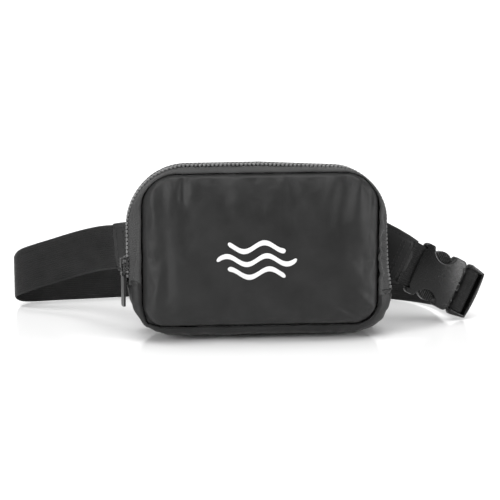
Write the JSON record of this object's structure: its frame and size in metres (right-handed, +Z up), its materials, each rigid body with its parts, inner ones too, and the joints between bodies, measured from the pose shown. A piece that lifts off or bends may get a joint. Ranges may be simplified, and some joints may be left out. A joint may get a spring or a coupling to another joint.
{
  "type": "belt bag",
  "caption": "Stuffed rounded-rectangle belt bag with a zip round its top and sides, sewn wings, a webbing belt laid in a loop and a closed side-release buckle.",
  "frame": {"origin": "on the floor, under the middle of the pouch's bottom gusset", "axes": "+Z up, +X to the buckle's side, the front panel faces -Y"},
  "size_m": [0.3652, 0.173, 0.1315],
  "materials": {
    "shell_fabric": "woven nylon, soft sheen",
    "lining_fabric": "plain woven lining",
    "webbing": "ribbed webbing",
    "zipper_tape": "knitted tape",
    "zipper_teeth": "moulded teeth",
    "slider_metal": "black enamel",
    "buckle_plastic": "moulded, semi-gloss"
  },
  "bodies": {
    "root": {"front_panel_lower": "shell_fabric", "front_lining_lower": "lining_fabric", "front_tape_lower": "zipper_tape", "front_teeth_lower": "zipper_teeth", "rear_teeth": "zipper_teeth", "rear_tape": "zipper_tape", "top_gusset": "shell_fabric", "bottom_gusset": "shell_fabric", "zip_stops": "zipper_teeth", "back_panel": "shell_fabric", "lining": "lining_fabric", "inner_pocket": "lining_fabric", "left_wing": "shell_fabric", "right_wing": "shell_fabric", "belt": "webbing", "wing_loop": "webbing", "buckle_female": "buckle_plastic"},
    "front": {"front_panel_upper": "shell_fabric", "front_lining_upper": "lining_fabric", "front_tape_upper": "zipper_tape", "front_teeth_upper": "zipper_teeth"},
    "slider": {"slider_body": "slider_metal"},
    "ring": {"pull_ring": "slider_metal"},
    "tab": {"pull_tab": "slider_metal"},
    "male": {"buckle_male": "buckle_plastic", "bar_loop": "webbing"},
    "upper_prong": {"prong_upper": "buckle_plastic"},
    "lower_prong": {"prong_lower": "buckle_plastic"}
  },
  "joints": [
    {"name": "mouth_fold", "type": "hinge", "parent": "root", "child": "front", "pos_m": [0, -0.024, 0.062], "axis": [1, 0, 0], "range_deg": [0, 30]},
    {"name": "zip_travel", "type": "slide", "parent": "root", "child": "slider", "axis": [0, 0, -1], "range_m": [-0.028, 0]},
    {"name": "ring_swing", "type": "hinge", "parent": "slider", "child": "ring", "pos_m": [-0.09982, -0.01845, 0.0585], "axis": [-0.2756, 0.9613, 0], "range_deg": [0, 90]},
    {"name": "tab_swing", "type": "hinge", "parent": "ring", "child": "tab", "pos_m": [-0.09982, -0.01845, 0.0511], "axis": [-0.2756, 0.9613, 0], "range_deg": [0, 55]},
    {"name": "buckle_slide", "type": "slide", "parent": "root", "child": "male", "axis": [0.8392, 0.2681, -0.4731], "range_m": [0, 0.034], "deforming": ["prong_upper", "prong_lower"]},
    {"name": "upper_prong_flex", "type": "hinge", "parent": "male", "child": "upper_prong", "pos_m": [0.16153, 0.03369, 0.03585], "axis": [0.3095, -0.9508, 0.0103], "range_deg": [0, 7], "stiffness_Nm_per_rad": 0.4},
    {"name": "lower_prong_flex", "type": "hinge", "parent": "male", "child": "lower_prong", "pos_m": [0.1508, 0.02997, 0.0147], "axis": [0.3095, -0.9508, 0.0103], "range_deg": [-7, 0], "stiffness_Nm_per_rad": 0.4}
  ],
  "couplings": [
    {"joint": "lower_prong_flex", "follows": "upper_prong_flex", "ratio": -1}
  ]
}
